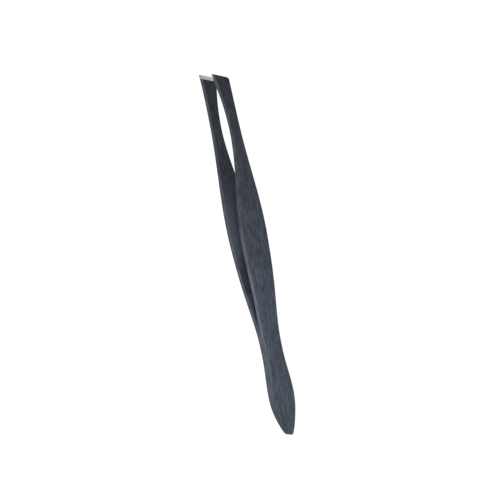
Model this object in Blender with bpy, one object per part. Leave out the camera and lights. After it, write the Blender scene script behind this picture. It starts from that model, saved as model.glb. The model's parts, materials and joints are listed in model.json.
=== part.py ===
"""Slant-tip precision tweezers: two spring-steel leaves joined at the heel by two spot welds.

The tweezers lie on the long side edges of their leaves. +X runs from the heel to the tip, Y crosses
the opening with the near leaf at -Y, and Z is the width of the leaves. The origin is on the surface
they lie on, under the middle of the whole. A station is a distance in millimetres from the heel's
end, measured along a leaf's middle.
"""

import math

import bmesh
import bpy

MM = 0.001

# Overall size, millimetres
LENGTH = 95.0
THICKNESS = 1.05
EDGE_CHAMFER = 0.12
MOST_CHAMFER_SHARE = 0.4
HEEL_GAP = 0.05

# Outline of a leaf: half its width at each widest and narrowest station
SPADE = 10.9
SPADE_HALF_WIDTH = 3.65
WAIST = 22.3
WAIST_HALF_WIDTH = 2.85
GRIP = 52.5
GRIP_HALF_WIDTH = 4.3
NECK = 81.2
NECK_HALF_WIDTH = 1.45
TIP_HALF_WIDTH = 2.6
NOSE_TAPER = 0.45
NOSE_START_DEG = 5.0

# Bow of a leaf: half the opening between the inner faces at each station
JUNCTION = 24.5
SHOULDER = 40.8
SHOULDER_HALF_OPENING = 1.16
GRIP_HALF_OPENING = 1.61
CREST = 78.0
CREST_HALF_OPENING = 2.73
TIP_HALF_OPENING = 1.4

# Slanted tip, with its short corner rounded and its inner face ground to a flat land
SLANT_DEG = 22.0
SLANT_START = 80.0
SHORT_CORNER_RADIUS = 0.8
LAND_LENGTH = 1.0
CLOSED_HALF_GAP = 0.03

# Flexure: each leaf bends about one line, where its heel and its arm are separate solids
PIVOT = 35.0
FLEXURE_GAP = 0.1
JAW_GAP = 0.05

# Spot welds between the two heels
WELD_STATIONS = {"weld_nugget_rear": 8.0, "weld_nugget_front": 15.0}
NUGGET_DIAMETER = 2.5
NUGGET_THICKNESS = 0.6
POCKET_CLEARANCE = 0.05

# How finely the surfaces are divided
NOSE_ROWS = 8
ROW_SPACING = 2.6
JAW_ROWS = 3
ACROSS = (-1.0, -0.92, -0.75, -0.4, 0.0, 0.5, 1.0)
ROUND_SIDES = 32
SHARP_DEG = 40.0

NEAR, FAR = -1, 1
SLANT = math.tan(math.radians(SLANT_DEG))
MIDDLE_HEIGHT = GRIP_HALF_WIDTH
TIP_END = LENGTH - TIP_HALF_WIDTH * SLANT
LAND_START = TIP_END - LAND_LENGTH

WIDTHS = (
    (SPADE, SPADE_HALF_WIDTH),
    (WAIST, WAIST_HALF_WIDTH),
    (GRIP, GRIP_HALF_WIDTH),
    (NECK, NECK_HALF_WIDTH),
    (LENGTH, TIP_HALF_WIDTH),
)
OPENINGS = (
    (JUNCTION, HEEL_GAP / 2),
    (SHOULDER, SHOULDER_HALF_OPENING),
    (GRIP, GRIP_HALF_OPENING),
    (CREST, CREST_HALF_OPENING),
    (LENGTH, TIP_HALF_OPENING),
)


def clear_scene():
    for obj in list(bpy.data.objects):
        bpy.data.objects.remove(obj, do_unlink=True)


def make_material(name, colour, roughness, metallic):
    material = bpy.data.materials.new(name)
    material.use_nodes = True
    shader = material.node_tree.nodes["Principled BSDF"]
    shader.inputs["Base Color"].default_value = (*colour, 1.0)
    shader.inputs["Roughness"].default_value = roughness
    shader.inputs["Metallic"].default_value = metallic
    return material


def slopes(points):
    """The slope at each point: level at the first and at every peak or dip, and easing out at the last."""
    rises = [(b[1] - a[1]) / (b[0] - a[0]) for a, b in zip(points, points[1:])]
    inner = [(a + b) / 2 if a * b > 0 else 0.0 for a, b in zip(rises, rises[1:])]
    return [0.0, *inner, 2 * rises[-1] - inner[-1]]


def smooth_curve(points, station):
    """The height at a station of a smooth curve through the points."""
    last = len(points) - 2
    index = max(i for i in range(last + 1) if i == 0 or station >= points[i][0])
    (x0, y0), (x1, y1) = points[index], points[index + 1]
    slope = slopes(points)
    span = x1 - x0
    t = (station - x0) / span
    start = (1 + 2 * t) * (1 - t) ** 2 * y0 + t * (1 - t) ** 2 * span * slope[index]
    end = t * t * (3 - 2 * t) * y1 - t * t * (1 - t) * span * slope[index + 1]
    return start + end


def half_width(station):
    if station >= SPADE:
        return smooth_curve(WIDTHS, station)
    u = 1 - station / SPADE
    return SPADE_HALF_WIDTH * math.sqrt(1 - u * u) * (1 - NOSE_TAPER * u * u)


def half_opening(station):
    return smooth_curve(OPENINGS, max(station, JUNCTION))


def closing_angle():
    """How far an arm turns about its pivot until the ground land lies along the middle plane."""
    pivot_depth = half_opening(PIVOT) + THICKNESS / 2
    along = LAND_START - PIVOT
    rise = half_opening(LAND_START) - pivot_depth
    reach = math.hypot(along, rise)
    return math.asin((pivot_depth - CLOSED_HALF_GAP) / reach) + math.atan2(rise, along)


def inner_depth(station, x):
    """The depth of the inner face from the middle plane: one flat plane on the ground land."""
    if station < LAND_START:
        return half_opening(station)
    return half_opening(LAND_START) + (x - LAND_START) * math.tan(closing_angle())


def corner_drop(height):
    """How far the rounded short corner falls back from the slanted end line, at a height above the middle."""
    centre = SHORT_CORNER_RADIUS - TIP_HALF_WIDTH
    tangent = centre - SHORT_CORNER_RADIUS * math.sin(math.radians(SLANT_DEG))
    if height >= tangent:
        return 0.0
    line = (height - centre) * SLANT + SHORT_CORNER_RADIUS / math.cos(math.radians(SLANT_DEG))
    arc = math.sqrt(max(SHORT_CORNER_RADIUS**2 - (height - centre) ** 2, 0.0))
    return line - arc


def along_leaf(station, across):
    """The distance from the heel's end to a point of a row, whose slant grows towards the tip."""
    slant_share = max(0.0, (station - SLANT_START) / (TIP_END - SLANT_START)) ** 2
    corner_share = max(0.0, (station - LAND_START) / LAND_LENGTH)
    height = across * TIP_HALF_WIDTH
    return station + slant_share * height * SLANT - corner_share * corner_drop(height)


def section(station, side):
    """One closed ring around a leaf: its inner face, its top edge, its outer face and its bottom edge."""
    width = half_width(along_leaf(station, 0.0))
    chamfer = min(EDGE_CHAMFER, MOST_CHAMFER_SHARE * width)
    ring = []

    def add(across, inset, outer, depth_step):
        x = along_leaf(station, across)
        z = across * (half_width(x) - inset)
        depth = half_opening(station) + THICKNESS if outer else inner_depth(station, x)
        ring.append((x - LENGTH / 2, side * (depth + depth_step), z + MIDDLE_HEIGHT))

    for across in ACROSS:
        add(across, chamfer, False, 0.0)
    add(1.0, 0.0, False, chamfer)
    add(1.0, 0.0, True, -chamfer)
    for across in reversed(ACROSS):
        add(across, chamfer, True, 0.0)
    add(-1.0, 0.0, True, -chamfer)
    add(-1.0, 0.0, False, chamfer)
    return ring


def evenly(start, end, spacing):
    count = max(1, round((end - start) / spacing))
    return [start + (end - start) * i / count for i in range(count + 1)]


def heel_stations():
    first = math.radians(NOSE_START_DEG)
    angles = [first + (math.pi / 2 - first) * i / NOSE_ROWS for i in range(NOSE_ROWS)]
    nose = [SPADE * (1 - math.cos(angle)) for angle in angles]
    return nose + evenly(SPADE, PIVOT - FLEXURE_GAP / 2, ROW_SPACING)


def arm_stations():
    return evenly(PIVOT + FLEXURE_GAP / 2, LAND_START - JAW_GAP, ROW_SPACING)


def jaw_stations():
    return [LAND_START + LAND_LENGTH * i / JAW_ROWS for i in range(JAW_ROWS + 1)]


def leaf_solid(name, side, stations, material, origin, parent):
    """A length of one leaf, skinned over its sections and closed at both ends."""
    mesh = bpy.data.meshes.new(name)
    bm = bmesh.new()
    rings = []
    for station in stations:
        points = [[(p - o) * MM for p, o in zip(point, origin)] for point in section(station, side)]
        rings.append([bm.verts.new(point) for point in points])
    for ring, following in zip(rings, rings[1:]):
        for i in range(len(ring)):
            j = (i + 1) % len(ring)
            bm.faces.new((ring[i], ring[j], following[j], following[i]))
    bm.faces.new(rings[0])
    bm.faces.new(rings[-1])
    bmesh.ops.recalc_face_normals(bm, faces=bm.faces)
    bm.to_mesh(mesh)
    bm.free()
    return place(name, mesh, material, parent)


def place(name, mesh, material, parent):
    mesh.materials.append(material)
    obj = bpy.data.objects.new(name, mesh)
    bpy.context.scene.collection.objects.link(obj)
    obj.parent = parent
    return obj


def make_empty(name, location, parent):
    empty = bpy.data.objects.new(name, None)
    empty.location = [value * MM for value in location]
    empty.parent = parent
    bpy.context.scene.collection.objects.link(empty)
    return empty


def disc(name, station, diameter, thickness, material, parent):
    """A round disc that lies across the middle plane of the heel."""
    mesh = bpy.data.meshes.new(name)
    bm = bmesh.new()
    bmesh.ops.create_cone(
        bm,
        cap_ends=True,
        segments=ROUND_SIDES,
        radius1=diameter / 2 * MM,
        radius2=diameter / 2 * MM,
        depth=thickness * MM,
    )
    bm.to_mesh(mesh)
    bm.free()
    mesh.shade_smooth()
    mesh.set_sharp_from_angle(angle=math.radians(SHARP_DEG))
    obj = place(name, mesh, material, parent)
    obj.location = ((station - LENGTH / 2) * MM, 0.0, MIDDLE_HEIGHT * MM)
    obj.rotation_euler = (math.pi / 2, 0.0, 0.0)
    return obj


def cut_pocket(heel, cutter):
    modifier = heel.modifiers.new(cutter.name, "BOOLEAN")
    modifier.operation = "DIFFERENCE"
    modifier.solver = "EXACT"
    modifier.object = cutter


def weld_cutters(coat, parent):
    """The blind pockets of the welds, one half in each heel."""
    cutters = []
    for name, station in WELD_STATIONS.items():
        diameter = NUGGET_DIAMETER + 2 * POCKET_CLEARANCE
        thickness = NUGGET_THICKNESS + 2 * POCKET_CLEARANCE
        cutter = disc(f"{name}_pocket", station, diameter, thickness, coat, parent)
        cutter.hide_render = True
        cutter.display_type = "WIRE"
        cutters.append(cutter)
    return cutters


def make_leaf(word, side, coat, bare, root, cutters):
    """One leaf: its heel, then its arm and ground jaw, which turn together about the flexure line."""
    heel = leaf_solid(f"{word}_heel", side, heel_stations(), coat, (0.0, 0.0, 0.0), root)
    for cutter in cutters:
        cut_pocket(heel, cutter)
    depth = half_opening(PIVOT) + THICKNESS / 2
    pivot = (PIVOT - LENGTH / 2, side * depth, MIDDLE_HEIGHT)
    hinge = make_empty(f"{word}_flexure", pivot, root)
    leaf_solid(f"{word}_arm", side, arm_stations(), coat, pivot, hinge)
    leaf_solid(f"{word}_jaw", side, jaw_stations(), bare, pivot, hinge)


def main():
    clear_scene()
    coat = make_material("satin_black_coat", (0.030, 0.033, 0.040), 0.45, 0.2)
    bare = make_material("ground_steel", (0.62, 0.63, 0.64), 0.28, 1.0)
    weld = make_material("weld_steel", (0.32, 0.31, 0.30), 0.55, 1.0)
    root = make_empty("tweezers", (0.0, 0.0, 0.0), None)
    cutters = weld_cutters(coat, root)
    for word, side in (("near", NEAR), ("far", FAR)):
        make_leaf(word, side, coat, bare, root, cutters)
    for name, station in WELD_STATIONS.items():
        disc(name, station, NUGGET_DIAMETER, NUGGET_THICKNESS, weld, root)


main()
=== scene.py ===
"""The looks of a pair of slant-tip precision tweezers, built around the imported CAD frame.

The leaves' shapes are worked out in millimetres, and to_row_frame turns them into metres. A station is
a distance from the heel's end, measured along a leaf's middle, and a depth is a distance from the middle
plane between the two leaves.
"""

import json
import math

import bmesh
import bpy
from mathutils import Matrix, Vector


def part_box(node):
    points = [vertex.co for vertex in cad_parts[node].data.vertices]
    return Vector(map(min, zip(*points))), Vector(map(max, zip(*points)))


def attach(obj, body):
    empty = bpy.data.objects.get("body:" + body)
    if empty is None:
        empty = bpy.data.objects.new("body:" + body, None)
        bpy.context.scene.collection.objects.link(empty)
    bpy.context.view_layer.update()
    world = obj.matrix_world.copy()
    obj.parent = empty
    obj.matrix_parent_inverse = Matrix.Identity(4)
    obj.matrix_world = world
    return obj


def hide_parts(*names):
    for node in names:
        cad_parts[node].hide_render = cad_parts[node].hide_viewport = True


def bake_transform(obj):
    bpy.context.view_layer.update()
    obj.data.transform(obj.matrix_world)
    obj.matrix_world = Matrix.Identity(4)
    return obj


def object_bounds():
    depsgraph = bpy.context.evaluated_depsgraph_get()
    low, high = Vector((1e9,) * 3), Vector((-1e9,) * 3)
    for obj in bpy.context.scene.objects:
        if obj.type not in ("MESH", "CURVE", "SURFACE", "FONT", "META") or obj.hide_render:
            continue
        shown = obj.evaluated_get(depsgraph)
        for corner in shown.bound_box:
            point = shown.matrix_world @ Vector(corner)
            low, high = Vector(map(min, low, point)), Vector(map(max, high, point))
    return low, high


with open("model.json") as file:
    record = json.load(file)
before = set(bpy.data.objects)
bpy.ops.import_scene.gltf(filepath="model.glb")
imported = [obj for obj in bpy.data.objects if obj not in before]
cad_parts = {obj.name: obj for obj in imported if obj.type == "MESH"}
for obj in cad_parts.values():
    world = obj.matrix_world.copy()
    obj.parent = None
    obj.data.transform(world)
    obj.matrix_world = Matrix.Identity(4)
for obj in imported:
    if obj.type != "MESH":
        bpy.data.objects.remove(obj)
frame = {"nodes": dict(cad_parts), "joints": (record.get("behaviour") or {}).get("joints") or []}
CAD_LOW, CAD_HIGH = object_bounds()

MM = 0.001

# Places and sizes taken from the frame, in millimetres
TIP_X = CAD_HIGH.x / MM
MIDDLE_Z = (CAD_LOW.z + CAD_HIGH.z) / 2 / MM
GRIP_HALF_WIDTH = (CAD_HIGH.z - CAD_LOW.z) / 2 / MM
HINGES = {joint["child"]: joint for joint in frame["joints"]}

# Outline of a leaf, as in the CAD: half its width at each widest and narrowest station
LENGTH = 95.0
THICKNESS = 1.05
NOSE_TAPER = 0.45
SPADE = 10.9
SPADE_HALF_WIDTH = 3.65
WAIST = 22.3
WAIST_HALF_WIDTH = 2.85
GRIP = 52.5
NECK = 81.2
NECK_HALF_WIDTH = 1.45
TIP_HALF_WIDTH = 2.6
WIDTHS = (
    (SPADE, SPADE_HALF_WIDTH),
    (WAIST, WAIST_HALF_WIDTH),
    (GRIP, GRIP_HALF_WIDTH),
    (NECK, NECK_HALF_WIDTH),
    (LENGTH, TIP_HALF_WIDTH),
)

# Bow of a leaf, as in the CAD: half the opening between the inner faces at each station
JUNCTION = 24.5
HEEL_HALF_GAP = 0.025
SHOULDER = 40.8
SHOULDER_HALF_OPENING = 1.16
GRIP_HALF_OPENING = 1.61
CREST = 78.0
CREST_HALF_OPENING = 2.73
TIP_HALF_OPENING = 1.4
OPENINGS = (
    (JUNCTION, HEEL_HALF_GAP),
    (SHOULDER, SHOULDER_HALF_OPENING),
    (GRIP, GRIP_HALF_OPENING),
    (CREST, CREST_HALF_OPENING),
    (LENGTH, TIP_HALF_OPENING),
)

# Slanted tip and its ground land
SLANT = math.radians(22.0)
SLANT_START = 80.0
SHORT_CORNER_RADIUS = 0.8
LAND_LENGTH = 1.0
CLOSED_HALF_GAP = 0.03
TIP_END = LENGTH - TIP_HALF_WIDTH * math.tan(SLANT)
LAND_START = TIP_END - LAND_LENGTH

# Finish of the edges, and the thin bare skin over the ground land, the cut end and part of the side edges
EDGE_RADIUS = 0.12
BARE_SKIN = 0.05
COAT_STEP = 0.03
BARE_SIDE_SHARE = {"near": 0.4, "far": 0.8}

# Weld pockets between the heels
WELDS = ("weld_nugget_rear", "weld_nugget_front")
POCKET_CLEARANCE = 0.05
POCKET_SEGMENTS = 48

# How finely the leaf is divided
NOSE_ROWS = 36
NOSE_START = math.radians(1.5)
ROW_SPACING = 0.8
JAW_ROW_SPACING = 0.35
LAND_ROWS = 10
COLUMNS = 14
ARC_STEPS = 5
SIDE_STEPS = 5
ROUNDING = 1e-6

# Finish of the meshes: the merge distance in metres, and the angles above which an edge is shaded sharp
MERGE_DISTANCE = 2e-7
LEAF_SHARP_DEG = 35
LAND_SHARP_DEG = 25
CUTTER_SHARP_DEG = 30

# Stations between which the near leaf's side edges get a painted highlight, and the inner faces get painted
# light
EDGE_HIGHLIGHT_STATIONS = (WAIST, 28.5, 43.0, 54.0)
INNER_LIGHT_STATIONS = (44.0, 52.0, 60.0, 70.0)

# Camera: the distance from the middle of the tweezers, its direction, and what the frame spans there
CAMERA_AZIMUTH = math.radians(17.54)
CAMERA_ELEVATION = math.radians(43.0)
CAMERA_ROLL = math.radians(114.06)
CAMERA_DISTANCE = 0.6
FRAME_WIDTH = 0.12245
MIDDLE_OFFSET = (0.001785, -0.002845)
SENSOR_WIDTH = 36.0

# Satin black coat: two tones of its clouds, then its streaks, the painted highlight on its side edges and the
# painted light on its inner faces
COAT_DARK = (0.013, 0.0135, 0.0155, 1)
COAT_GREY = (0.020, 0.0208, 0.0240, 1)
COAT_STREAK = (0.062, 0.064, 0.074, 1)
COAT_EDGE_HIGHLIGHT = (0.050, 0.053, 0.063, 1)
COAT_INNER_LIGHT = (0.056, 0.059, 0.067, 1)

# Bare steel: ground land from dull to bright, side edges darkened with painted shade, and the welds' warm and
# cool tints
GROUND_DULL = (0.62, 0.63, 0.64, 1)
GROUND_BRIGHT = (0.82, 0.82, 0.83, 1)
GROUND_SIDE_SHADE = (0.20, 0.20, 0.205, 1)
WELD_WARM = (0.30, 0.26, 0.21, 1)
WELD_COOL = (0.30, 0.32, 0.38, 1)

# Floor: its two tones, and for the camera a darker one that shines by itself, so that it stays white and even
FLOOR_HALF_SIZE = 4.0
FLOOR_DARK = (0.49, 0.49, 0.495, 1)
FLOOR_LIGHT = (0.53, 0.53, 0.535, 1)
FLOOR_SHADE = (0.10, 0.10, 0.101, 1)
FLOOR_GLOW = 0.9

# Noise: how many grains there are to a metre along X, Y and Z, and where its values mostly lie
MOTTLE = (160, 320, 320)
STREAKS = (420, 2400, 2400)
GRAIN = (900, 9000, 9000)
PEBBLE = (6500, 6500, 6500)
WEAR_PATCHES = (500, 1500, 1500)
GROUND_LINES = (26000, 26000, 1200)
WELD_CLOUD = (1500, 1500, 1500)
FLOOR_CLOUD = (6, 6, 6)
NOISE_LOW = 0.3
NOISE_HIGH = 0.7

# Gloss of each finish, least to most rough, and the reflection of the two that aren't bare metal
COAT_ROUGHNESS = (0.34, 0.54)
COAT_SPECULAR = 0.14
GROUND_ROUGHNESS = (0.26, 0.44)
GROUND_SIDE_ROUGHNESS = 0.55
WELD_ROUGHNESS = (0.4, 0.65)
FLOOR_ROUGHNESS = 0.9
FLOOR_SPECULAR = 0.1

# Relief of each finish: its depth in metres, and its strength
GRAIN_RELIEF = (0.00002, 0.12)
PEBBLE_RELIEF = (0.00002, 0.35)
GROUND_RELIEF = (0.00001, 0.4)
WELD_RELIEF = (0.0001, 0.5)

# How much of the streaks' tone shows, and the least of the painted edge highlight and the painted inner light
# within their bounds
STREAK_SHARE = 0.55
LEAST_EDGE_HIGHLIGHT = 0.4
LEAST_INNER_LIGHT = 0.7

# Lights, in metres and watts, and the fill from all round with the wall that the camera sees behind it
MIDDLE = (0.0, 0.0, 0.0)
WHITE = (1.0, 1.0, 1.0)
COOL = (0.66, 0.82, 1.0)
LIGHTS = (
    {"name": "key", "place": (0.08, -0.29, 0.52), "size": 0.5, "power": 2.5},
    {
        "name": "heel_side", "place": (-0.029, -0.050, 0.053), "size": 0.05, "power": 0.115,
        "colour": COOL, "aim": (-0.029, 0.0, 0.004),
    },
    {"name": "behind", "place": (-0.17, 0.17, 0.45), "size": 0.32, "power": 2.1},
    {"name": "back", "place": (0.0, 0.55, 0.12), "size": 0.3, "power": 1.7},
)
FILL_STRENGTH = 0.18
WALL_STRENGTH = 1.0


def slopes(points):
    """The slope at each point: level at the first and at every peak or dip, and free at the last."""
    rises = [(b[1] - a[1]) / (b[0] - a[0]) for a, b in zip(points, points[1:])]
    inner = [(a + b) / 2 if a * b > 0 else 0.0 for a, b in zip(rises, rises[1:])]
    return [0.0, *inner, 2 * rises[-1] - inner[-1]]


def smooth_curve(points, station):
    """The height at a station of a smooth curve through the points."""
    last = len(points) - 2
    index = max(i for i in range(last + 1) if i == 0 or station >= points[i][0])
    (x0, y0), (x1, y1) = points[index], points[index + 1]
    slope = slopes(points)
    span = x1 - x0
    t = (station - x0) / span
    start = (1 + 2 * t) * (1 - t) ** 2 * y0 + t * (1 - t) ** 2 * span * slope[index]
    end = t * t * (3 - 2 * t) * y1 - t * t * (1 - t) * span * slope[index + 1]
    return start + end


def half_width(station):
    if station >= SPADE:
        return smooth_curve(WIDTHS, station)
    u = 1 - station / SPADE
    return SPADE_HALF_WIDTH * math.sqrt(1 - u * u) * (1 - NOSE_TAPER * u * u)


def half_opening(station):
    return smooth_curve(OPENINGS, max(station, JUNCTION))


def closing_angle():
    """How far an arm turns about its flexure line until the ground land lies along the middle plane."""
    pivot = HINGES["near_arm"]["pos_m"]
    pivot_depth = abs(pivot[1]) / MM
    along = LAND_START - (pivot[0] / MM + LENGTH - TIP_X)
    rise = half_opening(LAND_START) - pivot_depth
    reach = math.hypot(along, rise)
    return math.asin((pivot_depth - CLOSED_HALF_GAP) / reach) + math.atan2(rise, along)


LAND_SLOPE = math.tan(closing_angle())


def land_depth(x):
    """The depth of the ground plane, which lies along the middle plane when the tweezers are closed."""
    return half_opening(LAND_START) + (x - LAND_START) * LAND_SLOPE


def outline_x(station, end):
    """How far along the leaf the outline is at the long (+1) or short (-1) end of a row, before rounding."""
    slant_share = max(0.0, (station - SLANT_START) / (TIP_END - SLANT_START)) ** 2
    return station + slant_share * end * TIP_HALF_WIDTH * math.tan(SLANT)


def side_point(x, end):
    """A point of the long (+1) or short (-1) side edge, as x and height above the middle."""
    return Vector((x, end * half_width(x)))


def short_corner():
    """The rounding of the short corner: the last x of the side edge, then the arc's centre and its angles."""
    corner = side_point(outline_x(TIP_END, -1), -1)
    along_side = (side_point(corner.x - SHORT_CORNER_RADIUS, -1) - corner).normalized()
    along_end = (side_point(LENGTH, 1) - corner).normalized()
    half_angle = along_side.angle(along_end) / 2
    tangent = SHORT_CORNER_RADIUS / math.tan(half_angle)
    towards = (along_side + along_end).normalized()
    centre = corner + towards * SHORT_CORNER_RADIUS / math.sin(half_angle)
    start = corner + along_side * tangent - centre
    end = corner + along_end * tangent - centre
    return corner.x + along_side.x * tangent, centre, math.atan2(start.y, start.x), math.atan2(end.y, end.x)


CORNER_X, CORNER_CENTRE, CORNER_FROM, CORNER_TO = short_corner()


def outline_point(station, end):
    """The outline at the long (+1) or short (-1) end of a row, as x and height above the middle."""
    share = (station - LAND_START) / LAND_LENGTH
    if end > 0 or share <= 0:
        return side_point(outline_x(station, end), end)
    first_x = outline_x(LAND_START, -1)
    straight = CORNER_X - first_x
    arc = SHORT_CORNER_RADIUS * (CORNER_TO - CORNER_FROM)
    way = share * (straight + arc)
    if way < straight:
        return side_point(first_x + way, -1)
    angle = CORNER_FROM + (way - straight) / SHORT_CORNER_RADIUS
    return CORNER_CENTRE + Vector((math.cos(angle), math.sin(angle))) * SHORT_CORNER_RADIUS


def inward(stations, index, end):
    """The direction from the outline into the leaf, level with its flat faces."""
    station = stations[index]
    if index == 0:
        return Vector((1.0, 0.0))
    if station >= SLANT_START:
        return (outline_point(station, -end) - outline_point(station, end)).normalized()
    tangent = (outline_point(stations[index + 1], end) - outline_point(stations[index - 1], end)).normalized()
    return Vector((tangent.y, -tangent.x)) * end


def edge_arc(stations, index, end, inset):
    """The rounded edge at one end of a row, as (x, height, drop), from the flat face to the outline."""
    direction = inward(stations, index, end)
    outline = outline_point(stations[index], end) + direction * inset
    arc = []
    for step in range(ARC_STEPS + 1):
        angle = math.pi / 2 * step / ARC_STEPS
        point = outline + direction * EDGE_RADIUS * (1 - math.sin(angle))
        arc.append((point.x, point.y, EDGE_RADIUS * (1 - math.cos(angle))))
    return arc


def half_ring(stations, index, inset=0.0):
    """A row of (x, height, drop) across one face, from the short edge over the face to the long edge."""
    short = edge_arc(stations, index, -1, inset)
    long = edge_arc(stations, index, 1, inset)
    return short[::-1] + between(short[0], long[0], COLUMNS) + long


def ring(stations, index, recess=0.0, shorten=0.0):
    """One row round a leaf, in two halves: across its inner face, and across its outer face.

    The recess lowers the inner face and its edges to make room for the bare skin, and shorten pulls the
    row back from the leaf's end.
    """
    station = stations[index]
    inner, outer = [], []
    for x, height, drop in half_ring(stations, index, recess):
        depth = half_opening(station) + drop
        if station >= LAND_START:
            depth = max(depth, land_depth(x)) + recess
        inner.append((x - shorten, depth, height))
    for x, height, drop in half_ring(stations, index):
        outer.append((x - shorten, half_opening(station) + THICKNESS - drop, height))
    return inner, outer


def between(a, b, steps):
    """The points strictly between two points."""
    return [tuple(p + (q - p) * i / steps for p, q in zip(a, b)) for i in range(1, steps)]


def to_row_frame(point, side):
    x, depth, height = point
    return Vector((x + TIP_X - LENGTH, side * depth, height + MIDDLE_Z)) * MM


def evenly(start, end, spacing):
    count = max(1, round((end - start) / spacing))
    return [start + (end - start) * i / count for i in range(count + 1)]


def leaf_stations():
    angles = [NOSE_START + (math.pi / 2 - NOSE_START) * i / NOSE_ROWS for i in range(NOSE_ROWS)]
    nose = [SPADE * (1 - math.cos(angle)) for angle in angles]
    body = evenly(SPADE, SLANT_START, ROW_SPACING)[:-1]
    jaw = evenly(SLANT_START, LAND_START, JAW_ROW_SPACING)[:-1]
    return nose + body + jaw + land_stations()


def land_stations():
    return [LAND_START + LAND_LENGTH * i / LAND_ROWS for i in range(LAND_ROWS + 1)]


def new_object(name, bm, material, sharp_deg):
    """A closed, outward-facing mesh object, smooth but for its sharp edges."""
    bmesh.ops.remove_doubles(bm, verts=bm.verts, dist=MERGE_DISTANCE)
    bmesh.ops.dissolve_degenerate(bm, edges=bm.edges, dist=MERGE_DISTANCE)
    bmesh.ops.recalc_face_normals(bm, faces=bm.faces)
    mesh = bpy.data.meshes.new(name)
    bm.to_mesh(mesh)
    bm.free()
    mesh.materials.append(material)
    mesh.shade_smooth()
    mesh.set_sharp_from_angle(angle=math.radians(sharp_deg))
    obj = bpy.data.objects.new(name, mesh)
    bpy.context.scene.collection.objects.link(obj)
    return obj


def skin(bm, rows, closed):
    """Quads between neighbouring rows of vertices."""
    for row, following in zip(rows, rows[1:]):
        for i in range(len(row) if closed else len(row) - 1):
            j = (i + 1) % len(row)
            bm.faces.new((row[i], row[j], following[j], following[i]))


def make_leaf(name, side, material):
    """A whole leaf, from its rounded heel to its slanted tip, stepped back where the bare skin sits."""
    stations = leaf_stations()
    first_land = len(stations) - 1 - LAND_ROWS
    plans = [(i, 0.0, 0.0) for i in range(first_land + 1)]
    plans += [(first_land + i, COAT_STEP, COAT_STEP * i / LAND_ROWS) for i in range(LAND_ROWS + 1)]
    bm = bmesh.new()
    rows = []
    for index, recess, shorten in plans:
        inner, outer = ring(stations, index, recess, shorten)
        long_side = between(inner[-1], outer[-1], SIDE_STEPS)
        short_side = between(outer[0], inner[0], SIDE_STEPS)
        quarters = (inner, long_side, outer[::-1], short_side)
        rows.append([[bm.verts.new(to_row_frame(point, side)) for point in quarter] for quarter in quarters])
    skin(bm, [sum(row, []) for row in rows], closed=True)
    cap_nose(bm, rows[0])
    cap_tip(bm, rows[-1])
    return new_object(name, bm, material, LEAF_SHARP_DEG)


def cap_nose(bm, quarters):
    """Closes the first row: joins its short edge to its long edge, round both rounded edges and the side."""
    inner, long_side, outer, short_side = quarters
    turn = ARC_STEPS
    long = inner[-turn:] + long_side + outer[:turn]
    short = inner[:turn][::-1] + short_side[::-1] + outer[-turn:][::-1]
    skin(bm, [short, long], closed=False)
    bm.faces.new([short[0], *inner[turn:-turn], long[0]])
    bm.faces.new([long[-1], *outer[turn:-turn], short[-1]])


def cap_tip(bm, quarters):
    """Closes the last row with strips from its inner face to its outer face."""
    inner, long_side, outer, short_side = quarters
    outer = outer[::-1]
    skin(bm, [inner[1:-1], outer[1:-1]], closed=False)
    bm.faces.new([inner[-2], inner[-1], *long_side, outer[-1], outer[-2]])
    bm.faces.new([outer[1], outer[0], *short_side, inner[0], inner[1]])


def make_land(name, side, material, side_share):
    """The bare steel of one tip: a thin skin over its ground inner face, cut end and part of its sides."""
    stations = leaf_stations()
    last = len(stations) - 1
    rings = [ring(stations, index) for index in range(last - LAND_ROWS, last + 1)]
    steps = [step / SIDE_STEPS for step in range(SIDE_STEPS + 1)]
    down = [share for share in steps if share <= side_share + ROUNDING]
    inner, outer = rings[-1]
    sheets = [[inner for inner, outer in rings], [partway(inner, outer, share) for share in steps]]
    for edge in (0, -1):
        sheets.append([[partway([i[edge]], [o[edge]], share)[0] for share in down] for i, o in rings])
    bm = bmesh.new()
    for sheet in sheets:
        skin(bm, [[bm.verts.new(to_row_frame(point, side)) for point in row] for row in sheet], closed=False)
    obj = new_object(name, bm, material, LAND_SHARP_DEG)
    modifier = obj.modifiers.new("skin", "SOLIDIFY")
    modifier.thickness = BARE_SKIN * MM
    modifier.offset = -1.0
    modifier.use_even_offset = True
    return apply_modifiers(obj)


def partway(row, following, share):
    return [tuple(p + (q - p) * share for p, q in zip(a, b)) for a, b in zip(row, following)]


def apply_modifiers(obj):
    """Bakes an object's modifiers into its mesh."""
    evaluated = obj.evaluated_get(bpy.context.evaluated_depsgraph_get())
    mesh = bpy.data.meshes.new_from_object(evaluated)
    obj.modifiers.clear()
    obj.data = mesh
    return obj


def camera_axes():
    """The camera's right, up and back directions."""
    a, e, roll = CAMERA_AZIMUTH, CAMERA_ELEVATION, CAMERA_ROLL
    back = Vector((math.sin(a) * math.cos(e), -math.cos(a) * math.cos(e), math.sin(e)))
    level = Vector((math.cos(a), math.sin(a), 0.0))
    rise = back.cross(level)
    right = level * math.cos(roll) - rise * math.sin(roll)
    up = level * math.sin(roll) + rise * math.cos(roll)
    return right, up, back


def make_camera():
    right, up, back = camera_axes()
    data = bpy.data.cameras.new("camera")
    data.sensor_width = SENSOR_WIDTH
    data.lens = SENSOR_WIDTH * CAMERA_DISTANCE / FRAME_WIDTH
    data.clip_start = CAMERA_DISTANCE / 100
    camera = bpy.data.objects.new("camera", data)
    bpy.context.scene.collection.objects.link(camera)
    middle = Vector((0.0, 0.0, MIDDLE_Z * MM))
    place = middle + back * CAMERA_DISTANCE - right * MIDDLE_OFFSET[0] - up * MIDDLE_OFFSET[1]
    camera.matrix_world = Matrix.Translation(place) @ Matrix((right, up, back)).transposed().to_4x4()
    bpy.context.scene.camera = camera


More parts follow.
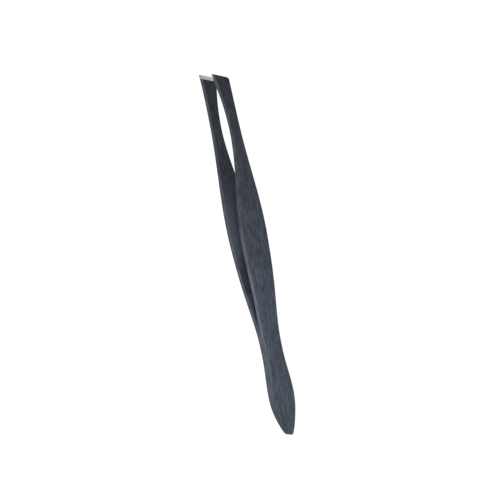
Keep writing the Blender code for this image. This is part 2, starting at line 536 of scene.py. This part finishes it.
def add_node(tree, kind, inputs=(), **settings):
    """A shader node with its settings, and its inputs set to values or linked to other nodes' outputs."""
    node = tree.nodes.new(kind)
    for key, value in settings.items():
        setattr(node, key, value)
    for name, value in dict(inputs).items():
        if isinstance(value, bpy.types.NodeSocket):
            tree.links.new(value, node.inputs[name])
        else:
            node.inputs[name].default_value = value
    return node


def new_material(name):
    material = bpy.data.materials.new(name)
    material.use_nodes = True
    tree = material.node_tree
    return material, tree, tree.nodes["Principled BSDF"]


def scaled_position(tree, scale):
    """The place in the row frame, stretched by a scale for each axis."""
    place = add_node(tree, "ShaderNodeTexCoord").outputs["Object"]
    return add_node(tree, "ShaderNodeMapping", {"Vector": place, "Scale": scale}).outputs["Vector"]


def noise(tree, grains, detail=3.0, roughness=0.5):
    """Noise with the given number of grains to a metre along each axis."""
    position = scaled_position(tree, grains)
    settings = {"Vector": position, "Scale": 1.0, "Detail": detail, "Roughness": roughness}
    return add_node(tree, "ShaderNodeTexNoise", settings).outputs["Fac"]


def remap(tree, value, low, high, out_low, out_high):
    """A value moved from one range to another, and kept inside it."""
    settings = {"Value": value, "From Min": low, "From Max": high, "To Min": out_low, "To Max": out_high}
    return add_node(tree, "ShaderNodeMapRange", settings).outputs["Result"]


def spread(tree, value, out_low, out_high):
    """Noise stretched to run from one value to the other."""
    return remap(tree, value, NOISE_LOW, NOISE_HIGH, out_low, out_high)


def times(tree, first, second):
    return add_node(tree, "ShaderNodeMath", {0: first, 1: second}, operation="MULTIPLY").outputs[0]


def mix_colour(tree, factor, first, second):
    node = add_node(tree, "ShaderNodeMix", data_type="RGBA")
    for socket, value in ((node.inputs[0], factor), (node.inputs[6], first), (node.inputs[7], second)):
        if isinstance(value, bpy.types.NodeSocket):
            tree.links.new(value, socket)
        else:
            socket.default_value = value
    return node.outputs[2]


def bump(tree, height, distance, strength, normal=None):
    inputs = {"Height": height, "Distance": distance, "Strength": strength}
    if normal is not None:
        inputs["Normal"] = normal
    return add_node(tree, "ShaderNodeBump", inputs).outputs["Normal"]


def side_facing(tree):
    """One on the side edges of the strip, and zero on its flat faces and its end."""
    normal = add_node(tree, "ShaderNodeNewGeometry").outputs["Normal"]
    level = add_node(tree, "ShaderNodeSeparateXYZ", {"Vector": normal}).outputs["Z"]
    size = add_node(tree, "ShaderNodeMath", {0: level}, operation="ABSOLUTE").outputs[0]
    return remap(tree, size, 0.5, 0.9, 0, 1)


def object_place(tree):
    """The place in the row frame, as its X, Y and Z outputs."""
    place = add_node(tree, "ShaderNodeTexCoord").outputs["Object"]
    return add_node(tree, "ShaderNodeSeparateXYZ", {"Vector": place}).outputs


def stretch(tree, stations):
    """One along a stretch of the leaves, whose four stations are its start, full, waning and end."""
    along = object_place(tree)["X"]
    start, full, waning, end = [to_row_frame((station, 0.0, 0.0), 1).x for station in stations]
    return times(tree, remap(tree, along, start, full, 0, 1), remap(tree, along, waning, end, 1, 0))


def painted_edge_highlight(tree):
    """A painted highlight on the near leaf's side edges, in patches."""
    patches = remap(tree, noise(tree, WEAR_PATCHES), 0.4, 0.65, LEAST_EDGE_HIGHLIGHT, 1)
    near = remap(tree, object_place(tree)["Y"], -HEEL_HALF_GAP * MM, HEEL_HALF_GAP * MM, 1, 0)
    highlit_stretch = times(tree, stretch(tree, EDGE_HIGHLIGHT_STATIONS), near)
    return times(tree, times(tree, side_facing(tree), patches), highlit_stretch)


def painted_inner_light(tree, streaks):
    """Painted light on the inner faces where the arms are widest and the near leaf shades them, uneven along
    the strip's streaks.
    """
    normal = add_node(tree, "ShaderNodeNewGeometry").outputs["Normal"]
    sideways = add_node(tree, "ShaderNodeSeparateXYZ", {"Vector": normal}).outputs["Y"]
    inward_facing = remap(tree, times(tree, sideways, object_place(tree)["Y"]), 0.0, -MM, 0, 1)
    uneven = spread(tree, streaks, LEAST_INNER_LIGHT, 1.0)
    return times(tree, times(tree, inward_facing, stretch(tree, INNER_LIGHT_STATIONS)), uneven)


def satin_black_coat():
    """A thin baked coat: near-black blue-grey and finely pebbled, with the strip's rolling grain in it."""
    material, tree, shader = new_material("satin_black_coat")
    mottle = noise(tree, MOTTLE, detail=4)
    streaks = noise(tree, STREAKS, detail=4, roughness=0.65)
    grain = noise(tree, GRAIN, detail=2)
    pebble = noise(tree, PEBBLE, detail=2, roughness=0.6)
    clouds = mix_colour(tree, remap(tree, mottle, 0.35, 0.65, 0, 1), COAT_DARK, COAT_GREY)
    base = mix_colour(tree, remap(tree, streaks, 0.42, 0.68, 0, STREAK_SHARE), clouds, COAT_STREAK)
    # Painted highlight: a lighter tone on the near leaf's side edges, where light catches them
    highlit = mix_colour(tree, painted_edge_highlight(tree), base, COAT_EDGE_HIGHLIGHT)
    # Painted light: a lighter tone on the inner faces where the arms are widest, in place of light that the
    # near leaf shades
    colour = mix_colour(tree, painted_inner_light(tree, streaks), highlit, COAT_INNER_LIGHT)
    tree.links.new(colour, shader.inputs["Base Color"])
    tree.links.new(spread(tree, streaks, *COAT_ROUGHNESS), shader.inputs["Roughness"])
    shader.inputs["Specular IOR Level"].default_value = COAT_SPECULAR
    lines = bump(tree, grain, *GRAIN_RELIEF)
    tree.links.new(bump(tree, pebble, *PEBBLE_RELIEF, lines), shader.inputs["Normal"])
    return material


def ground_steel():
    """Bare steel, ground with fine lines that run across the tip, and rougher on the side edges, whose colour
    is darkened with painted shade.
    """
    material, tree, shader = new_material("ground_steel")
    lines = noise(tree, GROUND_LINES, detail=3, roughness=0.7)
    ground = mix_colour(tree, spread(tree, lines, 0, 1), GROUND_DULL, GROUND_BRIGHT)
    side = side_facing(tree)
    # Painted shade: the side edges get a much darker steel colour
    tree.links.new(mix_colour(tree, side, ground, GROUND_SIDE_SHADE), shader.inputs["Base Color"])
    shader.inputs["Metallic"].default_value = 1.0
    polish = spread(tree, lines, *GROUND_ROUGHNESS)
    tree.links.new(remap(tree, side, 0, 1, polish, GROUND_SIDE_ROUGHNESS), shader.inputs["Roughness"])
    tree.links.new(bump(tree, lines, *GROUND_RELIEF), shader.inputs["Normal"])
    return material


def weld_steel():
    """Fused steel, rough and faintly heat-tinted."""
    material, tree, shader = new_material("weld_steel")
    cloud = noise(tree, WELD_CLOUD, detail=4)
    tree.links.new(mix_colour(tree, cloud, WELD_WARM, WELD_COOL), shader.inputs["Base Color"])
    shader.inputs["Metallic"].default_value = 1.0
    tree.links.new(spread(tree, cloud, *WELD_ROUGHNESS), shader.inputs["Roughness"])
    tree.links.new(bump(tree, cloud, *WELD_RELIEF), shader.inputs["Normal"])
    return material


def seen_directly(tree):
    """One for what the camera sees, and zero for light on its way to something else."""
    return add_node(tree, "ShaderNodeLightPath").outputs["Is Camera Ray"]


def pale_floor():
    """A pale matt sheet, lifted towards white for the camera as on a lit product table."""
    material, tree, shader = new_material("pale_floor")
    cloud = noise(tree, FLOOR_CLOUD, detail=2)
    tone = mix_colour(tree, cloud, FLOOR_DARK, FLOOR_LIGHT)
    shade = mix_colour(tree, seen_directly(tree), tone, FLOOR_SHADE)
    tree.links.new(shade, shader.inputs["Base Color"])
    shader.inputs["Roughness"].default_value = FLOOR_ROUGHNESS
    shader.inputs["Specular IOR Level"].default_value = FLOOR_SPECULAR
    shader.inputs["Emission Color"].default_value = (*WHITE, 1.0)
    glow = remap(tree, seen_directly(tree), 0.0, 1.0, 0.0, FLOOR_GLOW)
    tree.links.new(glow, shader.inputs["Emission Strength"])
    return material


def make_floor():
    """A plain sheet to lie on, wide enough for every view."""
    bm = bmesh.new()
    bmesh.ops.create_grid(bm, x_segments=1, y_segments=1, size=FLOOR_HALF_SIZE)
    mesh = bpy.data.meshes.new("floor")
    bm.to_mesh(mesh)
    bm.free()
    mesh.materials.append(pale_floor())
    floor = bpy.data.objects.new("floor", mesh)
    floor.location.z = CAD_LOW.z
    bpy.context.scene.collection.objects.link(floor)


def make_light(name, place, size, power, colour=WHITE, aim=MIDDLE):
    """A square soft box, turned to its aim."""
    data = bpy.data.lights.new(name, "AREA")
    data.size = size
    data.energy = power
    data.color = colour
    light = bpy.data.objects.new(name, data)
    light.location = place
    light.visible_camera = False
    light.rotation_euler = (Vector(place) - Vector(aim)).to_track_quat("Z", "Y").to_euler()
    bpy.context.scene.collection.objects.link(light)


def make_world():
    """A soft fill from all round, behind which the camera sees a white wall."""
    world = bpy.data.worlds.new("studio")
    world.use_nodes = True
    tree = world.node_tree
    level = remap(tree, seen_directly(tree), 0.0, 1.0, FILL_STRENGTH, WALL_STRENGTH)
    tree.links.new(level, tree.nodes["Background"].inputs["Strength"])
    tree.nodes["Background"].inputs["Color"].default_value = (*WHITE, 1.0)
    bpy.context.scene.world = world


def cut_pockets(leaf):
    """Blind pockets in a heel's inner face, round the CAD's weld nuggets."""
    for node in WELDS:
        low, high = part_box(node)
        bm = bmesh.new()
        radius = (high.x - low.x) / 2 + POCKET_CLEARANCE * MM
        depth = high.y - low.y + 2 * POCKET_CLEARANCE * MM
        turn = Matrix.Translation((low + high) / 2) @ Matrix.Rotation(math.pi / 2, 4, "X")
        shape = {"segments": POCKET_SEGMENTS, "radius1": radius, "radius2": radius, "depth": depth}
        bmesh.ops.create_cone(bm, cap_ends=True, matrix=turn, **shape)
        cutter = new_object(f"{node}_cutter", bm, leaf.data.materials[0], CUTTER_SHARP_DEG)
        modifier = leaf.modifiers.new(node, "BOOLEAN")
        modifier.operation = "DIFFERENCE"
        modifier.solver = "EXACT"
        modifier.object = cutter
        apply_modifiers(leaf)
        bpy.data.objects.remove(cutter, do_unlink=True)


def make_tweezers():
    coat, bare = satin_black_coat(), ground_steel()
    for word, side in (("near", -1), ("far", 1)):
        arm = f"{word}_arm"
        leaf = make_leaf(f"{word}_leaf", side, coat)
        cut_pockets(leaf)
        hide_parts(f"{word}_heel", arm)
        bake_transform(leaf)
        land = make_land(f"{word}_land", side, bare, BARE_SIDE_SHARE[word])
        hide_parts(f"{word}_jaw")
        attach(land, arm)
    weld = weld_steel()
    for node in WELDS:
        frame["nodes"][node].data.materials.clear()
        frame["nodes"][node].data.materials.append(weld)


def make_studio():
    make_floor()
    make_world()
    for light in LIGHTS:
        make_light(**light)
    bpy.context.scene.view_settings.view_transform = "Standard"


make_tweezers()
make_camera()
make_studio()
